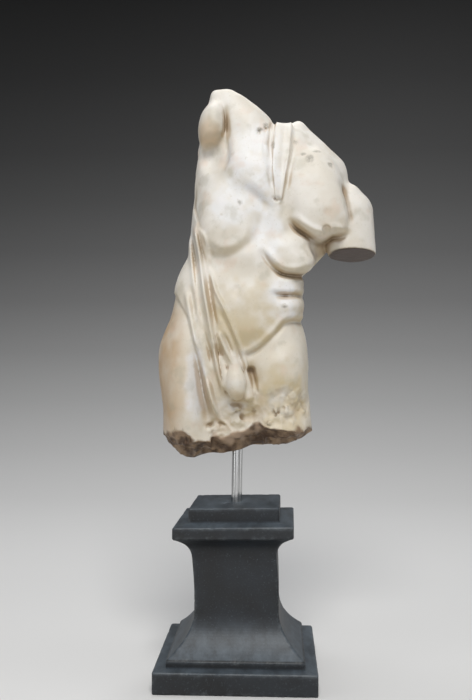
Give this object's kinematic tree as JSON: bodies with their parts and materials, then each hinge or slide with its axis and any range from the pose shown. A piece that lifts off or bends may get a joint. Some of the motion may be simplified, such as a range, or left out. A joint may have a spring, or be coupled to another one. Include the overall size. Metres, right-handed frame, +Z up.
{
  "type": "marble torso sculpture",
  "caption": "Broken marble torso of a draped standing youth, one arm raised, held on a round steel rod above a profiled dark stone plinth.",
  "frame": {"origin": "middle of the plinth's flat underside", "axes": "+Z up, +X to the viewer's right, -Y towards the viewer who faces the front of the torso"},
  "size_m": [0.2877, 0.2, 0.7562],
  "materials": {
    "marble": "worn, unpolished white marble with warm patina",
    "polished_steel": "polished steel rod",
    "dark_stone": "honed blue-black stone, slightly scuffed"
  },
  "bodies": {
    "root": {"torso": "marble", "support_rod": "polished_steel", "plinth": "dark_stone"}
  },
  "joints": []
}
